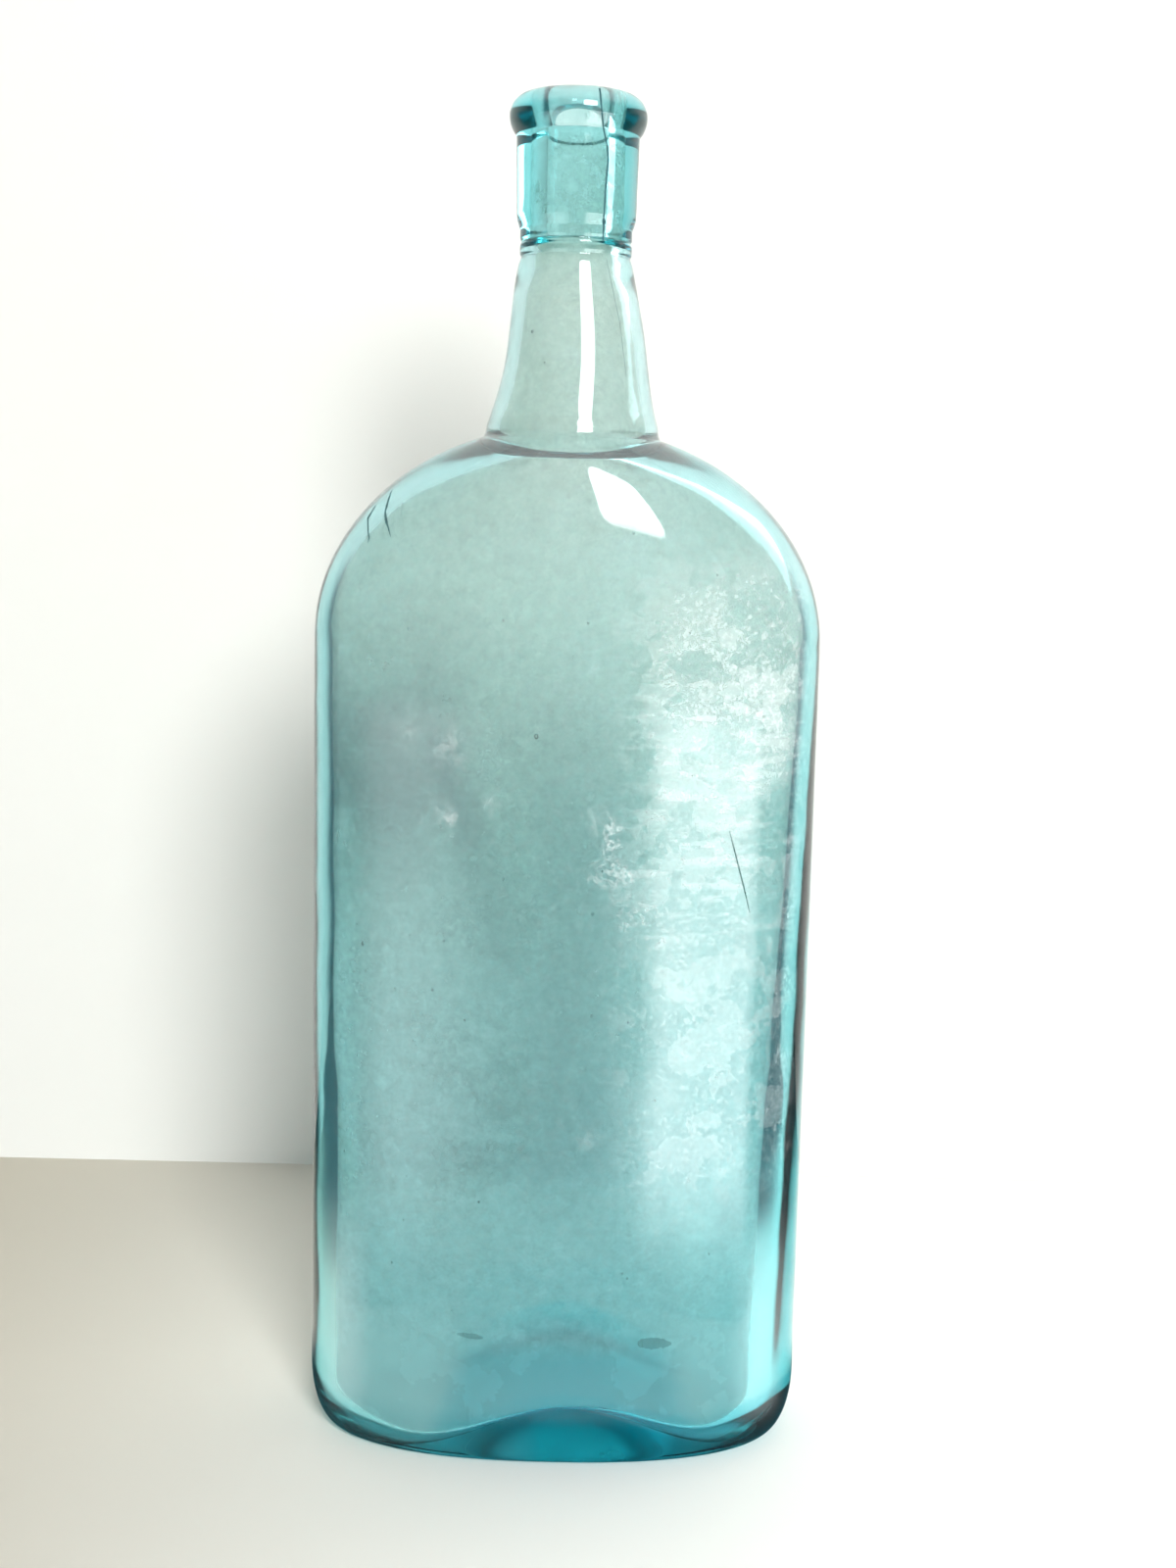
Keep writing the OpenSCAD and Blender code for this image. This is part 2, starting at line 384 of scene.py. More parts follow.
def throat_rings(foot_z):
    """The inside of the neck, from the end of the bore down to the top of the inner shoulder."""
    opened_z = BORE_END_Z - BORE_OPENS
    levels = steps(BORE_END_Z, opened_z, OPENING_ROWS) + steps(opened_z, foot_z, THROAT_ROWS)
    rings = []
    for z in levels:
        opened = ease(unit((BORE_END_Z - z) / BORE_OPENS))
        thicker = NECK_WALL_MORE * ease(unit((z - LIP_Z + NECK_WALL_RISE) / NECK_WALL_RISE))
        inside_r = neck_r(min(z, BAND_Z)) - NECK_WALL - thicker
        rings.append(round_ring(MOUTH_R + (inside_r - MOUTH_R) * opened, z, lean(z), deepness(z)))
    return rings


def between(z, low, high):
    """What goes evenly from low near the base to high at the shoulder, at height z."""
    return low + (high - low) * share(z, *WALL_SPAN)


def bump_under(x, y):
    """Height of the underside over the floor: flat near the rim, with the push-up in the middle."""
    off = (np.abs(x - MOUND_X) ** PUSH_POWER + np.abs(y) ** PUSH_POWER) ** (1 / PUSH_POWER) / PUSH_R
    return BASE_LIFT + PUSH_H * np.clip(1 - off ** 2, 0, 1)


def bump_floor(x, y):
    """Height of the inside floor, with the mound that the push-up raises."""
    off = np.clip(np.abs(x - MOUND_X) / MOUND_HALF_W, 0, 1)
    along = 1 - MOUND_FADE * (y / HALF_D) ** 2
    return FLOOR_T + MOUND_H * along * (0.5 + 0.5 * np.cos(math.pi * off))


def inner_rings():
    """The cavity, from the neck's foot down to the centre of the floor."""
    a, b = HALF_W - END_WALL[1], HALF_D - FACE_WALL[1]
    rise = SHOULDER_RISE - FACE_WALL[1]
    crown_r = INNER_FOOT_R + INNER_FLARE
    crown_z = SHOULDER_Z + rise * math.sin(math.acos(crown_r / a))
    foot_z = crown_z + INNER_FLARE
    up = (dome_rings(SHOULDER_Z, rise, a, b, crown_r, INNER_DOME_ROWS, INNER_POWER)
          + hollow_rings(crown_z, crown_r, INNER_FLARE, INNER_FLARE))
    rings = throat_rings(foot_z) + [round_ring(INNER_FOOT_R, foot_z, deep=NECK_DEPTH)] + up[:0:-1]
    # The heel's rounding is tight at the front and back and wide at the ends.
    heel = INNER_HEEL_FRONT + (INNER_HEEL_END - INNER_HEEL_FRONT) * COS ** 2
    edge = ring(HALF_W - END_WALL[0], HALF_D - FACE_WALL[0], INNER_POWER, 0.0, CAVITY_SHIFT)
    heel_z = bump_floor(edge[:, 0], edge[:, 1]) + heel
    for z in steps(SHOULDER_Z, heel_z, INNER_SIDE_ROWS):
        level = float(z.mean())
        a, b = HALF_W - between(level, *END_WALL), HALF_D - between(level, *FACE_WALL)
        rings.append(ring(a, b, INNER_POWER, z, between(level, CAVITY_SHIFT, 0.0)))
    reach = np.sqrt(edge[:, 0] ** 2 + edge[:, 1] ** 2)
    for t in steps(0, math.pi / 2, INNER_HEEL_ROWS):
        scale = 1 - heel * (1 - math.cos(t)) / reach
        x, y = edge[:, 0] * scale, edge[:, 1] * scale
        rings.append(np.stack([x, y, bump_floor(x, y) + heel * (1 - math.sin(t))], axis=1))
    last = 1 - heel / reach
    for mix in steps(0, 1, FLOOR_ROWS):
        x = edge[:, 0] * last * (1 - mix) + MOUND_X * mix
        y = edge[:, 1] * last * (1 - mix)
        rings.append(np.stack([x, y, bump_floor(x, y)], axis=1))
    return rings


def under_rings():
    """The underside, from near the push-up's centre out to the rim that the bottle stands on."""
    rim = ring(HALF_W - HEEL_IN, HALF_D - HEEL_IN, POWER, 0.0)
    rings = []
    for mix in steps(0, 1, UNDER_ROWS + 1)[1:]:
        x = MOUND_X + (rim[:, 0] - MOUND_X) * mix
        y = rim[:, 1] * mix
        rings.append(np.stack([x, y, bump_under(x, y) * (1 - mix ** RIM_FALL)], axis=1))
    return rings


def wavy(rings, depth):
    """The rings pressed in towards the axis by up to depth, in soft waves that fade out at the base and the top."""
    waved = []
    for points in rings:
        pressed = points.copy()
        for point in pressed:
            fade = unit((point[2] - WAVE_FOOT_Z) / WAVE_FADE_H) * unit((BAND_Z - point[2]) / WAVE_FADE_H)
            long_wave, short_wave = (noise.noise(Vector(point) * count) for count in WAVES_PER_M)
            wave = unit(0.5 + 0.5 * (long_wave + SECOND_WAVE * short_wave))
            point[:2] *= 1 - depth * fade * wave / math.hypot(point[0], point[1])
        waved.append(pressed)
    return waved


def smooth_mesh(name, points, faces):
    mesh = bpy.data.meshes.new(name)
    mesh.from_pydata(points, [], faces)
    mesh.validate()
    mesh.shade_smooth()
    return mesh


def stack_faces(rows):
    """The faces that join a stack of rings."""
    pairs = [(i, (i + 1) % AROUND) for i in range(AROUND)]
    starts = range(0, (rows - 1) * AROUND, AROUND)
    return [(k + i, k + j, k + AROUND + j, k + AROUND + i) for k in starts for i, j in pairs]


def closed_mesh(name, rings, start, end):
    """A closed mesh through a stack of rings, with a point at each end."""
    points = np.concatenate([np.concatenate(rings), [start], [end]])
    faces = stack_faces(len(rings))
    first, last = len(points) - 2, len(points) - 1
    row = first - AROUND
    for i in range(AROUND):
        j = (i + 1) % AROUND
        faces += [(first, j, i), (row + i, row + j, last)]
    return smooth_mesh(name, [tuple(p) for p in points], faces)


def film_mesh(name, skin, first, last):
    """A skin of its own just off rows first to last of the glass, with the glass mesh's point at its end."""
    glass_points = skin.vertices
    points = []
    for i in (*range(first * AROUND, last * AROUND), len(glass_points) - 1):
        at, normal = glass_points[i].co, glass_points[i].normal
        points.append(at + normal * FILM_OFF * (1 - 2 * ease(share(at.z, *FILM_TURN_Z))))
    faces = stack_faces(last - first)
    centre = len(points) - 1
    row = centre - AROUND
    faces += [(row + i, row + (i + 1) % AROUND, centre) for i in range(AROUND)]
    return smooth_mesh(name, points, faces)


def mark_rows(mesh, name, first, last, tip):
    """Stores 1 on the points of rows first to last and on the end point tip, and 0 on the others."""
    values = np.zeros(len(mesh.vertices), np.float32)
    values[first * AROUND:last * AROUND] = 1.0
    values[tip] = 1.0
    mesh.attributes.new(name, "FLOAT", "POINT").data.foreach_set("value", values)


def add_object(name, mesh, material):
    obj = bpy.data.objects.new(name, mesh)
    bpy.context.scene.collection.objects.link(obj)
    mesh.materials.append(material)
    return obj


# ---- Materials -----------------------------------------------
class Nodes:
    """Short calls for building a node tree. A value is another node's socket or a plain one."""

    def __init__(self, tree):
        self.tree = tree

    def node(self, kind, **settings):
        node = self.tree.nodes.new("ShaderNode" + kind)
        for key, value in settings.items():
            setattr(node, key, value)
        return node

    def link(self, value, socket):
        """Sets a socket to a value."""
        if hasattr(value, "is_output"):
            self.tree.links.new(value, socket)
        else:
            socket.default_value = value

    def math(self, kind, *values):
        node = self.node("Math", operation=kind)
        for value, socket in zip(values, node.inputs):
            self.link(value, socket)
        return node.outputs[0]

    def add(self, *values):
        total = values[0]
        for value in values[1:]:
            total = self.math("ADD", total, value)
        return total

    def both(self, *values):
        """The product of values, which marks what lies in the places of all of them."""
        total = values[0]
        for value in values[1:]:
            total = self.math("MULTIPLY", total, value)
        return total

    def off(self, value, middle):
        """How far value is from middle, to either side."""
        return self.math("ABSOLUTE", self.math("SUBTRACT", value, middle))

    def ramp(self, value, low, high, to_low=0.0, to_high=1.0):
        """Eases from to_low where value is low to to_high where it is high."""
        node = self.node("MapRange", interpolation_type="SMOOTHSTEP")
        for socket, v in zip(node.inputs, (value, low, high, to_low, to_high)):
            self.link(v, socket)
        return node.outputs["Result"]

    def span(self, value, low, high, soft):
        """1 where value is between low and high, and 0 beyond."""
        return self.both(self.ramp(value, low - soft, low + soft), self.ramp(value, high + soft, high - soft))

    def mix(self, share, first, second, kind="RGBA", **settings):
        """Goes from first to second with share. A plain colour is three numbers."""
        node = self.node("Mix", data_type=kind, **settings)
        for value, name in ((share, "Factor"), (first, "A"), (second, "B")):
            self.link((*value, 1) if isinstance(value, tuple) else value, node.inputs[name])
        return node.outputs["Result"]

    def place(self, kind="Object"):
        """The point's own coordinates in metres, or another kind of them, as a vector and as x, y, z."""
        coord = self.node("TexCoord").outputs[kind]
        split = self.node("SeparateXYZ")
        self.link(coord, split.inputs[0])
        return coord, *split.outputs

    def noise(self, coord, size, detail, rough, offset, stretch=(1, 1, 1)):
        """Noise from 0 to 1 whose blotches are about size metres across."""
        mapping = self.node("Mapping")
        self.link(coord, mapping.inputs["Vector"])
        mapping.inputs["Scale"].default_value = [1 / (size * k) for k in stretch]
        mapping.inputs["Location"].default_value = offset
        noise_node = self.node("TexNoise", noise_dimensions="3D")
        self.link(mapping.outputs[0], noise_node.inputs["Vector"])
        for name, value in (("Scale", 1.0), ("Detail", detail), ("Roughness", rough)):
            noise_node.inputs[name].default_value = value
        return noise_node.outputs["Fac"]


class Graph(Nodes):
    """The nodes of a new material."""

    def __init__(self, name):
        self.material = bpy.data.materials.new(name)
        self.material.use_nodes = True
        super().__init__(self.material.node_tree)
        self.shader = self.tree.nodes["Principled BSDF"]
        self.out = self.tree.nodes["Material Output"]

    def fill(self, **values):
        """Sets the shader's sockets, which are named here with _ for a space."""
        for name, value in values.items():
            self.link((*value, 1) if isinstance(value, tuple) else value, self.shader.inputs[name.replace("_", " ")])

    def clear(self):
        return self.node("BsdfTransparent").outputs[0]

    def glow(self, strength):
        node = self.node("Emission")
        self.link(strength, node.inputs["Strength"])
        return node.outputs[0]

    def blend(self, share, first, second):
        """Two shaders, with share of the second."""
        node = self.node("MixShader")
        for value, socket in zip((share, first, second), node.inputs):
            self.link(value, socket)
        return node.outputs[0]

    def show(self, surface):
        """Makes surface all that the material shows."""
        self.link(surface, self.out.inputs["Surface"])
        self.tree.nodes.remove(self.shader)


# ---- The looks of the glass and the deposit ------------------
# A ramp is given as the values between which it eases, and what it eases from and to if not 0 and 1.
# A span is given as its low end, its high end and the softness of both.
# A noise is given as its size, its detail, its roughness, its offset and its stretch if it has one.
CLOUD = (0.026, 4.0, 0.55, (7, 0, 4))
BLOTCH = (0.013, 5.0, 0.62, (2, 8, 1))
MOTTLE = (0.0035, 5.0, 0.7, (1, 5, 2))
GRAIN = (0.0011, 3.0, 0.8, (9, 3, 5))
RUN = (0.0030, 5.0, 0.65, (4, 4, 9), (5, 5, 1))
WEB = (0.0017, 5.0, 0.75, (6, 2, 7))
SUNNY_X = (0.006, 0.022)
SUNNY_FOOT_Z = (0.050, 0.075)
SUNNY_TOP_Z = (0.206, 0.184)
POWDER_X = (0.014, 0.042)
POWDER_Z = (0.156, 0.192, 0.014)
RUNS_X = (0.004, 0.016)
RUNS_Z = (0.118, 0.176, 0.008)
RUNS_CUT = (0.50, 0.60)  # of the noise
TIDE_WIDTH = 0.008  # how far the noise may be off the line's level
WEB_WIDTH = 0.035  # likewise
WEB_STRENGTH = 1.3
CRUST_WOBBLE = 3  # how uneven a patch's edge is, in its radii


class Weather:
    """The patterns of the deposit, which the glass and the haze share. They are fixed to the bottle."""

    def __init__(self, g):
        self.g = g
        self.coord, self.x, self.y, self.z = g.place()
        self.front = g.math("LESS_THAN", self.y, 0.0)
        self.cloud, self.blotch, self.mottle, self.grain = (
            g.noise(self.coord, *kind) for kind in (CLOUD, BLOTCH, MOTTLE, GRAIN))
        # The part of the front to +X that the sun shows up, and the part of it near the shoulder
        self.sunny = g.both(self.front, g.ramp(self.x, *SUNNY_X), g.ramp(self.z, *SUNNY_FOOT_Z),
                            g.ramp(self.z, *SUNNY_TOP_Z))
        self.powder = g.both(self.front, g.ramp(self.x, *POWDER_X), g.span(self.z, *POWDER_Z))

    def tide(self, level):
        """Thin lines around the blotches, as dried drops leave them."""
        return self.g.ramp(self.g.off(self.blotch, level), TIDE_WIDTH, 0.0)

    def runs(self):
        """Dried runs that lie level, across the part to +X at half height."""
        g = self.g
        level = g.noise(self.coord, *RUN)
        here = g.both(self.front, g.span(self.z, *RUNS_Z), g.ramp(self.x, *RUNS_X))
        return g.both(here, g.ramp(level, *RUNS_CUT))

    def crusts(self):
        """Patches of crusty white residue, broken up like a web."""
        g = self.g
        web = g.ramp(g.off(g.noise(self.coord, *WEB), 0.5), WEB_WIDTH, 0.0, 0.0, WEB_STRENGTH)
        total = 0.0
        for spot_x, spot_z, radius, strength in RESIDUE:
            dx, dz = g.math("SUBTRACT", self.x, spot_x), g.math("SUBTRACT", self.z, spot_z)
            away = g.math("SQRT", g.add(g.both(dx, dx), g.both(dz, dz)))
            wobble = g.both(g.math("SUBTRACT", self.mottle, 0.5), radius * CRUST_WOBBLE)
            total = g.add(total, g.ramp(g.add(away, wobble), radius, 0.0, 0.0, strength))
        return g.both(self.front, web, total)


# The deep tone near the foot, which reaches up in a hump over the push-up
DEEP_Z = (0.0068, 0.0046)
DEEP_HUMP_H = 0.0095
DEEP_HUMP = 0.80
DEEP_ACROSS = (-0.010, 0.034, 0.10, 0.55)
DEEP_MIDDLE = (0.045, 0.010, 0.1, 1.0)
DEEP_LOW = (0.120, 0.010, 0.0, 0.11)
DEEP_UNDER = 0.45
# Wear and etching, as roughness
WEAR_TOP = (FOOT_Z - 0.010, FOOT_Z - 0.022)
WEAR_SIDE = (0.050, 0.040)
WEAR_CLOUD = (0.3, 0.7, 0.02, 0.06)
WEAR_UNDER = 0.25
ETCHED = (LIP_Z, LIP_Z - 0.002, 0.03, 0.08)
# The milky bloom
MILK_HIGH = (0.13, 0.205, 0.02, 0.12)
MILK_NECK = (FOOT_Z - 0.004, FOOT_Z + 0.006, 0.0, -0.04)
MILK_RIM = (TOP_Z - 0.0045, TOP_Z - 0.0020, 0.0, 0.13)  # worn round the mouth
MILK_SIDE = (0.054, 0.048)
BELOW_LIP = (LIP_Z - 0.001, LIP_Z + 0.004, 1.0, 0.0)
POWDER_BLOTCH = (0.40, 0.62, 0.03, 0.14)
POWDER_GRAIN = (0.48, 0.62, 0.0, 0.13)
BLOT_BLOTCH = (0.50, 0.56, 0.0, 0.08)
BLOT_CLOUD = (0.45, 0.65, 0.0, 0.05)
BLOT_GRAIN = (0.45, 0.70, 0.0, 0.06)
TIDES = ((0.53, 0.14), (0.44, 0.10))  # level of the blotches and strength
BLOT_RUNS = 0.11
FLECK_Z = (0.020, 0.060)
FLECK_GRAIN = (0.52, 0.70, 0.0, 0.05)
CORNER_SIDE = (0.038, 0.047)
CORNER_TOP = (0.065, 0.035, 0.0, 0.13)
CORNER_FOOT = (0.006, 0.014)
MOST_MILK = 0.8


def glass_material():
    """Aqua glass, with its deep tone near the foot, its wear and the bloom on its outside."""
    g = Graph("aqua_glass")
    w = Weather(g)
    x, z = w.x, w.z
    inside = g.node("Attribute", attribute_name="inside").outputs["Fac"]
    outside = g.math("SUBTRACT", 1.0, inside)
    under = g.node("Attribute", attribute_name="under").outputs["Fac"]
    side = g.math("ABSOLUTE", x)
    # The glass is thick and deeply coloured around the heel and under the floor
    hump = g.ramp(g.off(x, MOUND_X), MOUND_HALF_W, 0.0)
    below = g.ramp(g.math("SUBTRACT", z, g.both(hump, DEEP_HUMP_H)), *DEEP_Z)
    strip = g.both(below, g.add(g.both(hump, DEEP_HUMP), g.ramp(x, *DEEP_ACROSS)))
    deep = g.both(outside, g.add(strip, g.both(g.ramp(side, *DEEP_MIDDLE), g.ramp(z, *DEEP_LOW))))
    tone = g.mix(g.math("MAXIMUM", deep, g.both(under, DEEP_UNDER)), CLEAR_TONE, DEEP_TONE)
    g.fill(Base_Color=tone, IOR=IOR)
    # Wear on the outside of the broad faces, more under the base, and etched haze on the inside
    wear = g.both(g.ramp(z, *WEAR_TOP), outside, g.ramp(side, *WEAR_SIDE), g.ramp(w.cloud, *WEAR_CLOUD))
    etched = g.both(inside, g.ramp(z, *ETCHED))
    g.fill(Roughness=g.add(wear, g.both(under, WEAR_UNDER), etched))
    # The bloom on the outside: on the neck and the shoulder, in patches to +X, at the base's corners
    below_lip = g.ramp(z, *BELOW_LIP)
    corners = g.both(g.ramp(side, *CORNER_SIDE), g.ramp(z, *CORNER_TOP), g.ramp(z, *CORNER_FOOT))
    milk = g.add(g.both(g.add(g.ramp(z, *MILK_HIGH), g.ramp(z, *MILK_NECK)), below_lip), corners)
    bloom = g.both(w.powder, g.add(g.ramp(w.blotch, *POWDER_BLOTCH), g.ramp(w.grain, *POWDER_GRAIN)))
    blots = g.both(w.sunny, g.add(g.ramp(w.blotch, *BLOT_BLOTCH), g.ramp(w.cloud, *BLOT_CLOUD),
                                  g.ramp(w.grain, *BLOT_GRAIN), *(g.both(w.tide(at), k) for at, k in TIDES),
                                  g.both(w.runs(), BLOT_RUNS)))
    flecks = g.both(w.front, g.ramp(z, *FLECK_Z), g.ramp(w.grain, *FLECK_GRAIN))
    milk = g.add(milk, bloom, g.ramp(z, *MILK_RIM), g.both(g.add(blots, flecks), below_lip), w.crusts())
    milk = g.math("MINIMUM", g.both(milk, g.ramp(side, *MILK_SIDE)), MOST_MILK)
    g.fill(Transmission_Weight=g.math("SUBTRACT", 1.0, g.both(milk, outside)))
    volume = g.node("VolumeAbsorption")
    g.link((*ABSORB_COLOR, 1), volume.inputs["Color"])
    g.link(ABSORB_DENSITY, volume.inputs["Density"])
    g.link(volume.outputs["Volume"], g.out.inputs["Volume"])
    return g.material


# The film inside: how much there is anywhere, and how much more between one height and another
FILM = 0.34
FILM_HEIGHTS = (
    (0.150, 0.200, 0.0, 0.20),
    (0.075, 0.040, 0.0, 0.16),
    (FOOT_Z - 0.002, FOOT_Z + 0.006, 0.0, -0.02),
    (LIP_Z + 0.003, LIP_Z + 0.007, 0.0, -0.32),
    (TOP_Z - 0.013, TOP_Z - 0.009, 0.0, -0.20),
)
FILM_CORNER_X = (0.019, 0.031)
FILM_CORNER_Z = (0.040, 0.020)
# The second of these adds cover where shade is painted and where the streak lies
FILM_SUNNY, FILM_SHADE_AND_STREAK, FILM_CORNER, FILM_DOME = 0.24, 0.38, 0.26, -0.02
FILM_CLOUDS = 0.9
FILM_BLOTCH = (0.525, 0.545, 0.0, 0.10)
FILM_TIDE = 0.53
FILM_TIDE_CLOUD = (0.45, 0.60, 0.0, 0.14)
FILM_RUNS = 0.18
FILM_GRAIN = (0.48, 0.62, -0.10, 0.20)
CALM_Z = (0.018, 0.036)  # no clouds lie on the floor
COVER = (0.04, 0.95)  # the least and the most that the film hides
THROUGH = 0.6  # the share of its light that passes it
WHITE_Z = (0.060, 0.200)  # from the low white to the high one
# The dome over the push-up, where the deposit is painted bright blue: painted light for the lit floor seen through
# the base
DOME_FOOT_Z = 0.010
DOME_SLOPE = 0.35
DOME_X = (0.030, 0.023)
DOME_Z = (0.030, 0.023)
DOME_PAINTED_LIGHT = 0.8
# Painted shade and a streak: a dark column in the middle, painted shade for the dark room that the front reflects, a
# grey patch to -X, painted shade for the shadow on the wall behind, and a dark slanting streak, each with its
# strength
COLUMN_X = (-0.006, 0.014, 0.006)
COLUMN_Z = (0.060, 0.165, 0.02)
COLUMN = 0.42
STREAK_AT_Z = 0.122
STREAK_SLOPE = 0.22
STREAK_X = (-0.019, -0.010, 0.004)
STREAK_Z = (0.112, 0.160, 0.018)
STREAK = 0.7
GREY_X = (-0.014, -0.030)
GREY_Z = (0.130, 0.180, 0.018)
GREY = 0.75
SHADE_AND_STREAK_CLOUD = (0.30, 0.62, 0.55, 1.0)


def haze_material():
    """A thin white deposit: light passes it scattered, and its thin places are clear. Dark patches on it are painted
    shade, and a dark streak crosses it.
    """
    g = Graph("white_deposit_and_painted_shade")
    w = Weather(g)
    x, z = w.x, w.z
    # Painted shade: the column darkens the deposit for the dark room that the front reflects, and the grey patch to
    # -X darkens it for the wall's shadow behind; the streak is a dark slanting line
    column = g.both(w.front, g.span(x, *COLUMN_X), g.span(z, *COLUMN_Z))
    across = g.add(x, g.both(g.math("SUBTRACT", z, STREAK_AT_Z), STREAK_SLOPE))
    streak = g.both(w.front, g.span(across, *STREAK_X), g.span(z, *STREAK_Z))
    grey = g.both(w.front, g.ramp(x, *GREY_X), g.span(z, *GREY_Z))
    shade_and_streak = g.add(g.both(grey, GREY), g.both(column, COLUMN), g.both(streak, STREAK))
    shade_and_streak = g.both(g.math("MINIMUM", shade_and_streak, 1.0), g.ramp(w.cloud, *SHADE_AND_STREAK_CLOUD))
    off_mound = g.off(x, MOUND_X)
    corners = g.both(g.ramp(off_mound, *FILM_CORNER_X), g.ramp(z, *FILM_CORNER_Z))
    outline = g.add(off_mound, g.both(g.math("SUBTRACT", z, DOME_FOOT_Z), DOME_SLOPE))
    dome = g.both(g.ramp(outline, *DOME_X), g.ramp(z, *DOME_Z))
    level = g.add(FILM, *(g.ramp(z, *height) for height in FILM_HEIGHTS))
    level = g.add(level, g.both(w.sunny, FILM_SUNNY), g.both(shade_and_streak, FILM_SHADE_AND_STREAK), g.both(corners, FILM_CORNER),
                  g.both(dome, FILM_DOME))
    # Clouds, blotches with sharp tide marks, and dried runs that lie level
    clouds = g.add(*(g.both(g.math("SUBTRACT", noisy, 0.5), FILM_CLOUDS) for noisy in (w.cloud, w.mottle)))
    level = g.add(level, g.both(g.ramp(z, *CALM_Z), clouds), g.ramp(w.blotch, *FILM_BLOTCH),
                  g.both(w.tide(FILM_TIDE), g.ramp(w.cloud, *FILM_TIDE_CLOUD)), g.both(w.runs(), FILM_RUNS),
                  g.both(w.powder, g.ramp(w.grain, *FILM_GRAIN)))
    cover = g.math("MINIMUM", g.math("MAXIMUM", level, COVER[0]), COVER[1])
    white = g.mix(g.ramp(z, *WHITE_Z), LOW_WHITE, HIGH_WHITE)
    # Over the push-up the colour turns bright blue, which is painted light. The dark tone under it is painted shade,
    # with a streak
    color = g.mix(g.both(dome, DOME_PAINTED_LIGHT), g.mix(shade_and_streak, white, SHADE_AND_STREAK_TONE), DOME_PAINTED_LIGHT_TONE)
    scattered = [g.node("BsdfDiffuse"), g.node("BsdfTranslucent")]
    for shader in scattered:
        g.link(color, shader.inputs["Color"])
    g.show(g.blend(cover, g.clear(), g.blend(THROUGH, *(shader.outputs[0] for shader in scattered))))
    return g.material


def mark_material(name, color, alpha):
    g = Graph(name)
    g.fill(Base_Color=color, Roughness=MARK_ROUGHNESS, Alpha=alpha)
    return g.material


def seed_material():
    """Air, as the glass around it meets it."""
    g = Graph("seed_air")
    g.fill(Base_Color=(1, 1, 1), Roughness=0.0, IOR=1 / IOR, Transmission_Weight=1.0)
    return g.material


# ---- Pieces on the glass -------------------------------------
def touch(tree, x, z):
    """The point of the front at x and z, and the outward direction there."""
    place, normal, _, _ = tree.ray_cast(Vector((x, -1.0, z)), Vector((0, 1, 0)))
    return place, normal


def add_mark(name, tree, paths, off, ragged, material):
    """Thin strips that follow the front of the glass along paths, with edges as uneven as ragged says."""
    points, faces = [], []
    for path in paths:
        first = len(points)
        for (x0, z0, w0), (x1, z1, w1) in zip(path, path[1:]):
            length = math.hypot(x1 - x0, z1 - z0)
            side_x, side_z = -(z1 - z0) / length, (x1 - x0) / length
            parts = max(2, int(length / MARK_STEP))
            for u in (*steps(0, 1, parts), 1.0):
                x, z = x0 + (x1 - x0) * u, z0 + (z1 - z0) * u
                half = (w0 + (w1 - w0) * u) / 2
                for sign in (-1, 1):
                    rough = 1 + ragged * noise.noise(Vector((x, z, sign * EDGE_APART)) * EDGES_PER_M)
                    place, normal = touch(tree, x + sign * side_x * half * rough, z + sign * side_z * half * rough)
                    points.append(place + normal * off)
        faces += [(k, k + 1, k + 3, k + 2) for k in range(first, len(points) - 2, 2)]
    mark = add_object(name, smooth_mesh(name, points, faces), material)
    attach(mark, "root")


def add_seeds(tree):
    """Small bubbles in the wall of the glass."""
    chance = random.Random(STRAY_START)
    seeds = list(SEEDS)
    for _ in range(STRAY_SEEDS):
        seeds.append((chance.uniform(*STRAY_X), chance.uniform(*STRAY_Z), chance.uniform(*STRAY_R)))
    points, faces = [], []
    around, rows = SEED_AROUND, SEED_ROWS
    for x, z, r in seeds:
        place, normal = touch(tree, x, z)
        centre = place - normal * (SEED_DEPTH + r)
        tip = Vector((0, 0, r * SEED_LONG))
        first = len(points)
        for up in steps(0, math.pi, rows)[1:]:
            for turn in steps(0, 2 * math.pi, around):
                out = r * math.sin(up)
                points.append(centre + Vector((out * math.cos(turn), out * math.sin(turn), tip.z * math.cos(up))))
        top, foot = len(points), len(points) + 1
        points += [centre + tip, centre - tip]
        for i in range(rows - 2):
            for k in range(around):
                a, b = first + i * around + k, first + i * around + (k + 1) % around
                faces.append((a, a + around, b + around, b))
        for k in range(around):
            n = (k + 1) % around
            faces.append((first + k, first + n, top))
            faces.append((first + (rows - 2) * around + n, first + (rows - 2) * around + k, foot))
    seeds_object = add_object("seeds", smooth_mesh("seeds", points, faces), seed_material())
    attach(seeds_object, "root")


# ---- The papers under and behind the bottle ------------------
WALL_Y = 0.165
WALL_FOOT_Z = -0.01
FLOOR_Z = -0.0001  # just under what stands on it
PAPER_REACH = 3.0
PAPER_ROUGHNESS = 0.9
FLOOR_COLOR = (0.88, 0.88, 0.85)
# Painted shade: the floor turns darker towards -X, where less light falls on it
FLOOR_LEFT_SHADE = (0.49, 0.46, 0.385)  # its tone towards -X
FLOOR_LIFT = 1.12  # how much brighter it looks than the light that it lends to matt things
FLOOR_IN_GLASS = 1.2  # how bright it is through the glass, next to how it shows directly
FLOOR_FLAG_SIDE = (0.09, 0.20)
WALL_COLOR = (0.90, 0.90, 0.86)
# Painted shade: the wall turns a little darker towards -X, where less light falls on it
WALL_LEFT_SHADE = (0.86, 0.86, 0.82)
WALL_LIFT = 0.90
WALL_FLAG_SIDE = (0.22, 0.42)
IN_GLASS = 0.88  # as FLOOR_IN_GLASS, for the wall and the room
# Where the painted shade towards -X fades into the plain colour
LEFT_SHADE_REACH = (-0.20, 0.08)  # from the left tone to the plain one
# Where reflections darken, from the one distance to the other
FLAG_FRONT = (-0.045, -0.13)
FLAG_TOP = (0.36, 0.29)
FLAG_COLOR = (0.03, 0.105, 0.125)
CONTACT = (1.95, 1.35)  # where reflections near the foot darken, in half widths of the body


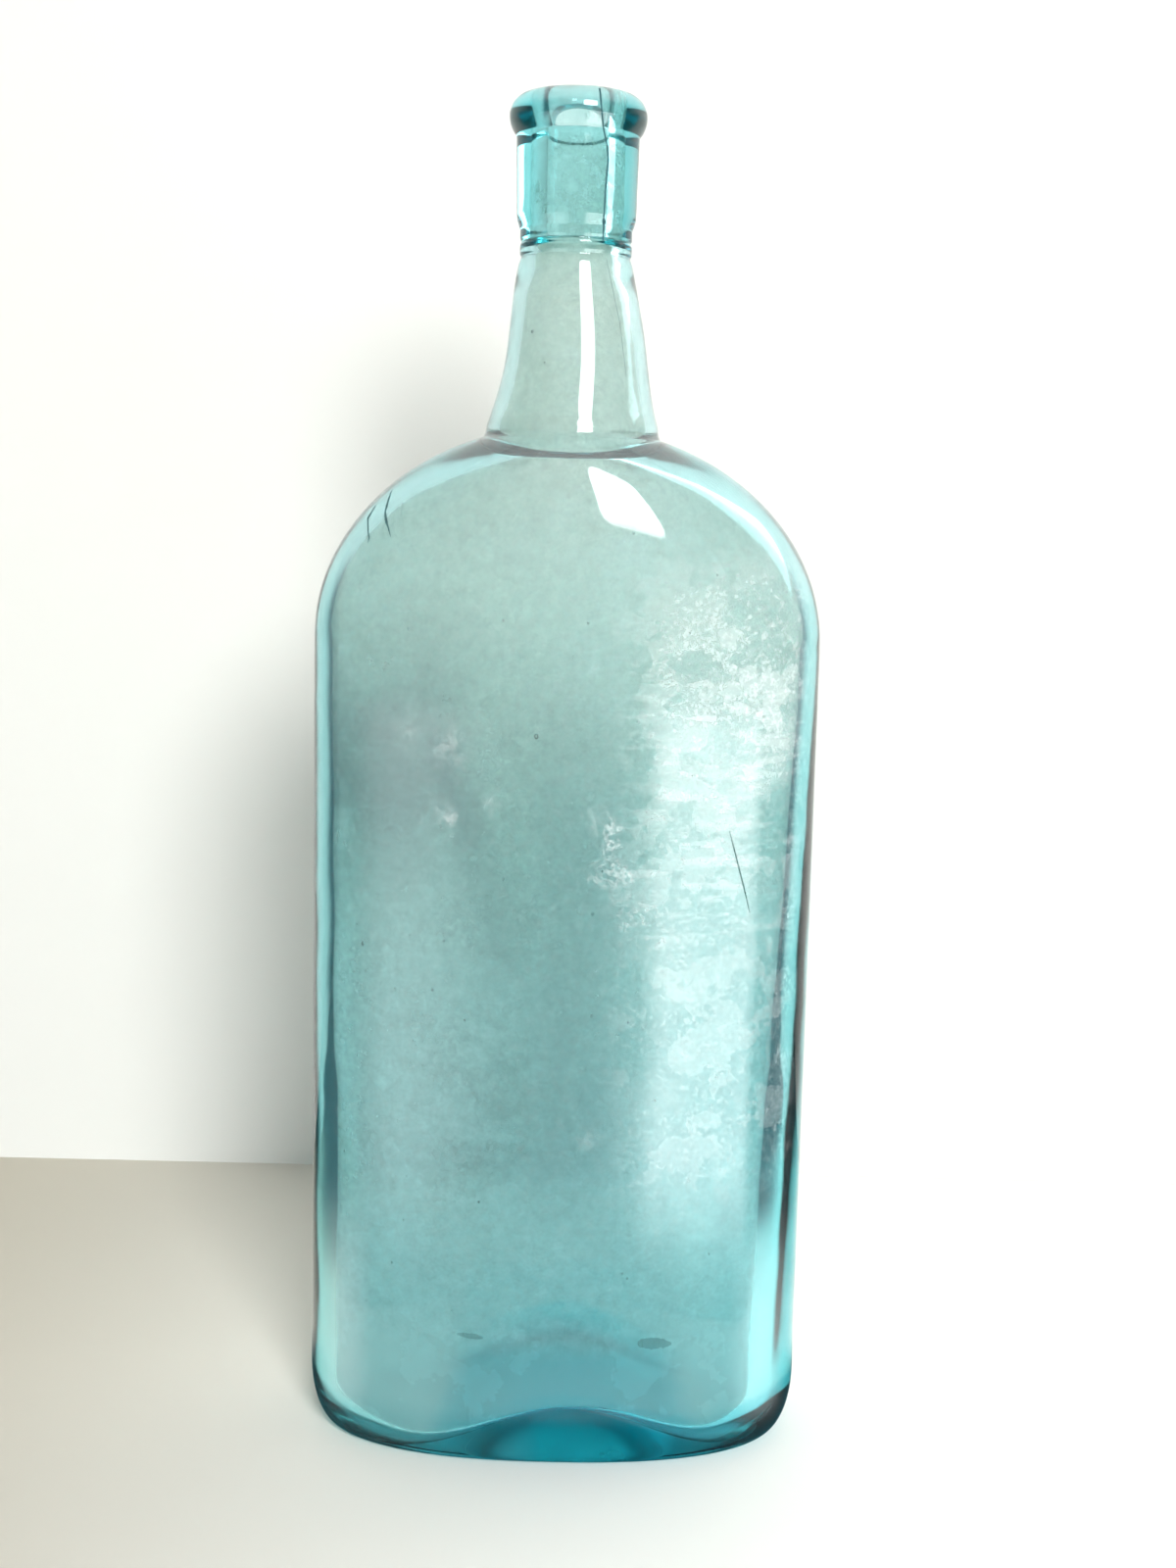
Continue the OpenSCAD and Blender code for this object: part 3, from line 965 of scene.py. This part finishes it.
def paper(name, color, lift, left_shade, flag_side, in_glass):
    """The nodes of a matt material. What the camera sees of it, directly or in the glass, is lifted by lift.

    Towards -X it turns to a darker tone, which is painted shade where less light falls. Light that the glass has
    reflected finds it dark far to the sides and to the front, as a photographer's black flags would make it.
    """
    g = Graph(name)
    _, x, y, z = g.place()
    path = g.node("LightPath").outputs
    seen = g.math("MAXIMUM", path["Is Camera Ray"],
                  g.math("MAXIMUM", path["Is Glossy Ray"], path["Is Transmission Ray"]))
    # Painted shade: darker towards -X, where less light falls
    tone = g.mix(g.ramp(x, *LEFT_SHADE_REACH), tuple(c * lift for c in left_shade), tuple(c * lift for c in color))
    direct = g.add(g.both(path["Is Camera Ray"], 1 - in_glass), in_glass)
    tone = g.mix(1.0, tone, direct, blend_type="MULTIPLY")
    flag = g.math("MAXIMUM", g.ramp(g.math("ABSOLUTE", x), *flag_side), g.ramp(y, *FLAG_FRONT))
    across, along = g.math("DIVIDE", x, HALF_W), g.math("DIVIDE", y, HALF_D)
    near = g.math("SQRT", g.add(g.both(across, across), g.both(along, along)))
    # Only what the outside reflects darkens near the foot, where the bottle shades the table
    first = g.math("LESS_THAN", path["Transmission Depth"], 0.5)
    flag = g.math("MAXIMUM", g.both(flag, g.ramp(z, *FLAG_TOP)), g.both(g.ramp(near, *CONTACT), first))
    reflected = g.both(g.math("GREATER_THAN", path["Glossy Depth"], 0.5),
                       g.math("LESS_THAN", path["Diffuse Depth"], 0.5))
    tone = g.mix(g.both(flag, reflected), tone, FLAG_COLOR)
    g.fill(Base_Color=g.mix(seen, color, tone), Roughness=PAPER_ROUGHNESS)
    return g


def add_plane(name, corners, material):
    mesh = bpy.data.meshes.new(name)
    mesh.from_pydata(corners, [], [(0, 1, 2, 3)])
    obj = add_object(name, mesh, material)
    return obj


def add_papers():
    """The floor, and the wall, which is clear from behind."""
    far, low, foot = PAPER_REACH, FLOOR_Z, WALL_FOOT_Z
    floor = paper("floor_paper", FLOOR_COLOR, FLOOR_LIFT, FLOOR_LEFT_SHADE, FLOOR_FLAG_SIDE, FLOOR_IN_GLASS)
    add_plane("floor", [(-far, -far, low), (far, -far, low), (far, far, low), (-far, far, low)], floor.material)
    wall = paper("wall_paint", WALL_COLOR, WALL_LIFT, WALL_LEFT_SHADE, WALL_FLAG_SIDE, IN_GLASS)
    behind = wall.node("NewGeometry").outputs["Backfacing"]
    wall.link(wall.blend(behind, wall.shader.outputs[0], wall.clear()), wall.out.inputs["Surface"])
    add_plane("wall", [(-far, WALL_Y, foot), (far, WALL_Y, foot), (far, WALL_Y, far), (-far, WALL_Y, far)],
              wall.material)


# ---- Lights --------------------------------------------------
# The sun, a disk
SUN_AZIMUTH = math.radians(14)
SUN_ELEVATION = math.radians(24)
SUN_AWAY = 1.1
SUN_SIZE = 0.34
SUN_RADIANCE = 46.0
SUN_AIM_Z = 0.15  # the height that it shines at
# The window, with its azimuths in degrees to the right of the camera
WINDOW_AZIMUTHS = (8, 32)
WINDOW_HEIGHTS = (0.312, 0.456)
WINDOW_AWAY = 0.26
WINDOW_RADIANCE = (9.0, 20.0)  # at its foot and from WINDOW_FULL up
WINDOW_FULL = 0.350
WINDOW_RISE = 0.005  # how much higher its foot is to the right
WINDOW_ROUND = 5.0  # squareness of its outline
WINDOW_EDGE = 0.60  # it fades from here to 1, which is its outline
# The sunlit side of the room
BRIGHT_X = (0.17, 0.60)
BRIGHT_Y = 0.15
BRIGHT_Z = (0.315, 0.60)
BRIGHT_RADIANCE = 4.8
# Sunlight on the table in front: name, azimuths, softness of its sides in degrees, and radiance
TABLE_LIGHTS = (
    ("sunny_table", (19, 62), 5.0, 5.7),
    ("pale_table", (-62, -22), 18.0, 2.3),
)
TABLE_LIGHT_Z = 0.0005
TABLE_NEAR = (0.12, 0.264)  # it begins between these distances from the bottle
TABLE_FAR = (1.8, 1.44)  # and ends between these
TABLE_LEAST = 0.001  # where it is weaker than this it is clear
# The room
DARK_BEHIND = (0.35, 0.75)  # how far a way has to lead to the back to reach the white wall
FLAG_TONE = 0.13  # how bright its other sides are in reflections
FILL = 0.30  # how strongly it lights matt things
HAZE_LIGHT = 1.9  # how bright it is for light that the deposit scatters
LIGHT_COLOR = (1.0, 1.0, 0.985)  # its colour as the glass shows it


def hide(obj, *rays):
    """Keeps obj out of the way of rays of these kinds."""
    for ray in rays:
        setattr(obj, "visible_" + ray, False)


def way(azimuth, elevation):
    """The unit vector to a place azimuth to the right of the camera and elevation above the table."""
    return Vector((math.sin(azimuth) * math.cos(elevation), -math.cos(azimuth) * math.cos(elevation),
                   math.sin(elevation)))


def add_sun():
    """The sun, as a disk lamp that only matt things meet."""
    data = bpy.data.lights.new("sun", "AREA")
    data.shape = "DISK"
    data.size = SUN_SIZE
    data.energy = SUN_RADIANCE * math.pi * math.pi / 4 * SUN_SIZE ** 2
    obj = bpy.data.objects.new("sun", data)
    away = way(SUN_AZIMUTH, SUN_ELEVATION)
    obj.location = away * SUN_AWAY + Vector((0, 0, SUN_AIM_Z))
    obj.rotation_euler = away.to_track_quat("Z", "Y").to_euler()
    hide(obj, "camera", "glossy", "transmission")
    bpy.context.scene.collection.objects.link(obj)


def add_window():
    """The window as the glass reflects it, with round corners. It gives no light to matt things."""
    g = Graph("window_light")
    _, x, _, z = g.place()
    left, right = (math.radians(a) for a in WINDOW_AZIMUTHS)
    foot, top = WINDOW_HEIGHTS
    corners = [(left, foot), (right, foot), (right, top), (left, top)]
    points = [way(a, 0) * WINDOW_AWAY + Vector((0, 0, height)) for a, height in corners]
    middle_x, half_x = (points[0].x + points[1].x) / 2, (points[1].x - points[0].x) / 2
    middle_z, half_z = (foot + top) / 2, (top - foot) / 2
    across = g.math("DIVIDE", g.math("SUBTRACT", x, middle_x), half_x)
    rise = g.both(g.add(across, 1.0), WINDOW_RISE / 2, g.ramp(z, top, foot))
    up = g.math("DIVIDE", g.math("SUBTRACT", g.math("SUBTRACT", z, middle_z), rise), half_z)
    reach = g.add(*(g.math("POWER", g.math("ABSOLUTE", part), WINDOW_ROUND) for part in (across, up)))
    glow = g.glow(g.ramp(z, foot, WINDOW_FULL, *WINDOW_RADIANCE))
    g.show(g.blend(g.ramp(reach, 1.0, WINDOW_EDGE), g.clear(), glow))
    hide(add_plane("window", points, g.material), "camera", "diffuse", "transmission", "shadow")


def add_bright_side():
    """The sunlit side of the room, which only what passes through the lip shows."""
    g = Graph("bright_side")
    g.show(g.glow(BRIGHT_RADIANCE))
    (x0, x1), (z0, z1) = BRIGHT_X, BRIGHT_Z
    corners = [(x0, BRIGHT_Y, z0), (x1, BRIGHT_Y, z0), (x1, BRIGHT_Y, z1), (x0, BRIGHT_Y, z1)]
    hide(add_plane("bright_side", corners, g.material), "camera", "diffuse", "glossy", "shadow")


def add_table_light(name, azimuths, softness, radiance):
    """Sunlight on the table in front, between two azimuths. It shows only as a reflection in the glass."""
    g = Graph(name)
    _, x, y, _ = g.place()
    away = g.math("SQRT", g.add(g.both(x, x), g.both(y, y)))
    turn = g.math("ARCTAN2", x, g.both(y, -1.0))
    low, high = (math.radians(a) for a in azimuths)
    mask = g.both(g.span(turn, low, high, math.radians(softness)), g.ramp(away, *TABLE_NEAR),
                  g.ramp(away, *TABLE_FAR))
    glow = g.glow(g.both(mask, radiance))
    g.show(g.blend(g.math("GREATER_THAN", mask, TABLE_LEAST), g.clear(), glow))
    far, up = TABLE_FAR[0], TABLE_LIGHT_Z
    side = far if high > 0 else -far
    corners = [(0, -far, up), (side, -far, up), (side, 0, up), (0, 0, up)]
    hide(add_plane(name, corners, g.material), "camera", "diffuse", "transmission", "shadow")


def add_world():
    """A white room. Light that the glass has reflected finds it dark, but for the wall behind."""
    world = bpy.data.worlds.new("room")
    bpy.context.scene.world = world
    world.use_nodes = True
    n = Nodes(world.node_tree)
    _, _, to_back, _ = n.place("Generated")
    path = n.node("LightPath").outputs
    strength = n.mix(path["Glossy Depth"], IN_GLASS, n.ramp(to_back, *DARK_BEHIND, FLAG_TONE), "FLOAT")
    strength = n.mix(path["Diffuse Depth"], strength, HAZE_LIGHT, "FLOAT")
    strength = n.mix(path["Is Diffuse Ray"], strength, FILL, "FLOAT")
    strength = n.mix(path["Is Camera Ray"], strength, 1.0, "FLOAT")
    background = world.node_tree.nodes["Background"]
    n.link(strength, background.inputs["Strength"])
    n.link(n.mix(path["Is Camera Ray"], LIGHT_COLOR, (1, 1, 1)), background.inputs["Color"])


def add_camera():
    data = bpy.data.cameras.new("photo_view")
    data.lens = CAMERA_LENS
    forward = Vector((0, math.cos(CAMERA_PITCH), -math.sin(CAMERA_PITCH)))
    right = Vector((1, 0, 0))
    up = right.cross(forward)
    side = right * math.cos(CAMERA_ROLL) + up * math.sin(CAMERA_ROLL)
    top = up * math.cos(CAMERA_ROLL) - right * math.sin(CAMERA_ROLL)
    camera = bpy.data.objects.new("photo_view", data)
    camera.matrix_world = Matrix.Translation(CAMERA_AT) @ Matrix((side, top, -forward)).transposed().to_4x4()
    bpy.context.scene.collection.objects.link(camera)
    bpy.context.scene.camera = camera


# ---- Build ---------------------------------------------------
add_camera()
under = under_rings()
outside = wavy(
    under + heel_rings() + side_rings()
    + dome_rings(SHOULDER_Z, SHOULDER_RISE, HALF_W, HALF_D, CROWN_R, DOME_ROWS, POWER)
    + hollow_rings(FOOT_Z, CROWN_R, FOOT_BLEND - NECK_FLARE, FOOT_BLEND)
    + neck_rings() + band_rings() + lip_rings(), OUTER_WAVE)
inside = wavy(bore_rings() + inner_rings(), INNER_WAVE)
rows = len(outside) + len(inside)
start = (MOUND_X, 0.0, float(bump_under(np.array(MOUND_X), np.array(0.0))))
end = (MOUND_X, 0.0, float(bump_floor(np.array(MOUND_X), np.array(0.0))))
skin_mesh = closed_mesh("glass", outside + inside, start, end)
mark_rows(skin_mesh, "inside", len(outside), rows, -1)
mark_rows(skin_mesh, "under", 0, len(under), -2)
skin = add_object("glass", skin_mesh, glass_material())
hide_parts("bottle_body", "applied_finish")
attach(skin, "root")

haze = add_object("inner_haze", film_mesh("inner_haze", skin_mesh, len(outside), rows), haze_material())
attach(haze, "root")

tree = BVHTree.FromPolygons([v.co for v in skin_mesh.vertices], [tuple(f.vertices) for f in skin_mesh.polygons])
for name, paths, off, ragged, shade, color, alpha in MARKS:
    add_mark(name, tree, paths, off, ragged, mark_material(shade, color, alpha))
add_seeds(tree)

add_papers()
add_sun()
add_window()
add_bright_side()
for light in TABLE_LIGHTS:
    add_table_light(*light)
add_world()
bpy.context.scene.view_settings.view_transform = "Standard"
